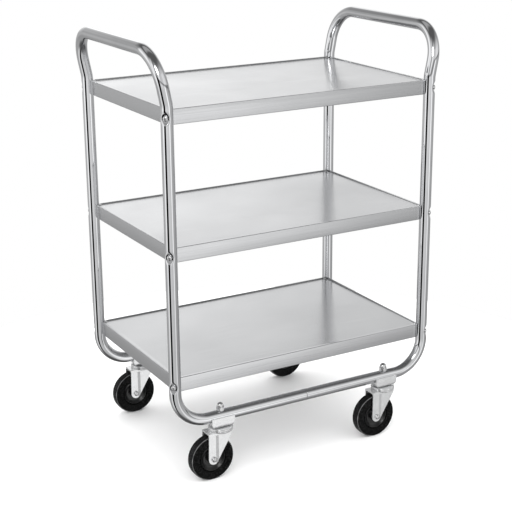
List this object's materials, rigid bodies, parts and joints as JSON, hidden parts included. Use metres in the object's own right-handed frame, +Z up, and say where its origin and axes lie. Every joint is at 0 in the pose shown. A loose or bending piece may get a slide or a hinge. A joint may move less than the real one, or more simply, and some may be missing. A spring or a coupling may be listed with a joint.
{
  "type": "food service trolley",
  "caption": "Three-shelf service trolley: bent tube end frames with push handles, folded sheet shelves and swivel castors.",
  "frame": {"origin": "on the floor, under the middle of the trolley", "axes": "+Z up, +X along the shelves towards the right handle, +Y across the shelves towards the rear"},
  "size_m": [0.6876, 0.4484, 0.9243],
  "materials": {
    "chromed_tube": "polished bright tube",
    "brushed_sheet": "satin brushed stainless sheet",
    "bright_fasteners": "bright plated",
    "zinc_plated_steel": "bright zinc plate",
    "tyre_rubber": "smooth black rubber",
    "hub_plastic": "moulded black"
  },
  "bodies": {
    "trolley": {"left_frame_tube": "chromed_tube", "right_frame_tube": "chromed_tube", "front_joint_sleeve": "zinc_plated_steel", "rear_joint_sleeve": "zinc_plated_steel", "bottom_shelf": "brushed_sheet", "middle_shelf": "brushed_sheet", "top_shelf": "brushed_sheet", "bottom_shelf_screw_front_left": "bright_fasteners", "bottom_shelf_screw_front_right": "bright_fasteners", "bottom_shelf_screw_rear_left": "bright_fasteners", "bottom_shelf_screw_rear_right": "bright_fasteners", "middle_shelf_screw_front_left": "bright_fasteners", "middle_shelf_screw_front_right": "bright_fasteners", "middle_shelf_screw_rear_left": "bright_fasteners", "middle_shelf_screw_rear_right": "bright_fasteners", "top_shelf_screw_front_left": "bright_fasteners", "top_shelf_screw_front_right": "bright_fasteners", "top_shelf_screw_rear_left": "bright_fasteners", "top_shelf_screw_rear_right": "bright_fasteners", "front_left_saddle": "zinc_plated_steel", "front_left_swivel_race": "zinc_plated_steel", "front_left_king_bolt": "bright_fasteners", "front_left_cap_nut": "bright_fasteners", "front_right_saddle": "zinc_plated_steel", "front_right_swivel_race": "zinc_plated_steel", "front_right_king_bolt": "bright_fasteners", "front_right_cap_nut": "bright_fasteners", "rear_left_saddle": "zinc_plated_steel", "rear_left_swivel_race": "zinc_plated_steel", "rear_left_king_bolt": "bright_fasteners", "rear_left_cap_nut": "bright_fasteners", "rear_right_saddle": "zinc_plated_steel", "rear_right_swivel_race": "zinc_plated_steel", "rear_right_king_bolt": "bright_fasteners", "rear_right_cap_nut": "bright_fasteners"},
    "front_left_swivel": {"front_left_fork": "zinc_plated_steel", "front_left_axle_bolt": "bright_fasteners", "front_left_axle_nut": "bright_fasteners", "front_left_axle_sleeve": "zinc_plated_steel"},
    "front_left_wheel": {"front_left_wheel_hub": "hub_plastic", "front_left_tyre": "tyre_rubber"},
    "front_right_swivel": {"front_right_fork": "zinc_plated_steel", "front_right_axle_bolt": "bright_fasteners", "front_right_axle_nut": "bright_fasteners", "front_right_axle_sleeve": "zinc_plated_steel"},
    "front_right_wheel": {"front_right_wheel_hub": "hub_plastic", "front_right_tyre": "tyre_rubber"},
    "rear_left_swivel": {"rear_left_fork": "zinc_plated_steel", "rear_left_axle_bolt": "bright_fasteners", "rear_left_axle_nut": "bright_fasteners", "rear_left_axle_sleeve": "zinc_plated_steel"},
    "rear_left_wheel": {"rear_left_wheel_hub": "hub_plastic", "rear_left_tyre": "tyre_rubber"},
    "rear_right_swivel": {"rear_right_fork": "zinc_plated_steel", "rear_right_axle_bolt": "bright_fasteners", "rear_right_axle_nut": "bright_fasteners", "rear_right_axle_sleeve": "zinc_plated_steel"},
    "rear_right_wheel": {"rear_right_wheel_hub": "hub_plastic", "rear_right_tyre": "tyre_rubber"}
  },
  "joints": [
    {"name": "front_left_swivel_turn", "type": "hinge", "parent": "trolley", "child": "front_left_swivel", "pos_m": [-0.208, -0.198, 0.11], "axis": [0, 0, 1], "continuous": true},
    {"name": "front_left_wheel_spin", "type": "hinge", "parent": "front_left_swivel", "child": "front_left_wheel", "pos_m": [-0.233, -0.198, 0.05], "axis": [0, 1, 0], "continuous": true},
    {"name": "front_right_swivel_turn", "type": "hinge", "parent": "trolley", "child": "front_right_swivel", "pos_m": [0.208, -0.198, 0.11], "axis": [0, 0, 1], "continuous": true},
    {"name": "front_right_wheel_spin", "type": "hinge", "parent": "front_right_swivel", "child": "front_right_wheel", "pos_m": [0.183, -0.198, 0.05], "axis": [0, 1, 0], "continuous": true},
    {"name": "rear_left_swivel_turn", "type": "hinge", "parent": "trolley", "child": "rear_left_swivel", "pos_m": [-0.208, 0.198, 0.11], "axis": [0, 0, 1], "continuous": true},
    {"name": "rear_left_wheel_spin", "type": "hinge", "parent": "rear_left_swivel", "child": "rear_left_wheel", "pos_m": [-0.233, 0.198, 0.05], "axis": [0, 1, 0], "continuous": true},
    {"name": "rear_right_swivel_turn", "type": "hinge", "parent": "trolley", "child": "rear_right_swivel", "pos_m": [0.208, 0.198, 0.11], "axis": [0, 0, 1], "continuous": true},
    {"name": "rear_right_wheel_spin", "type": "hinge", "parent": "rear_right_swivel", "child": "rear_right_wheel", "pos_m": [0.183, 0.198, 0.05], "axis": [0, 1, 0], "continuous": true}
  ]
}
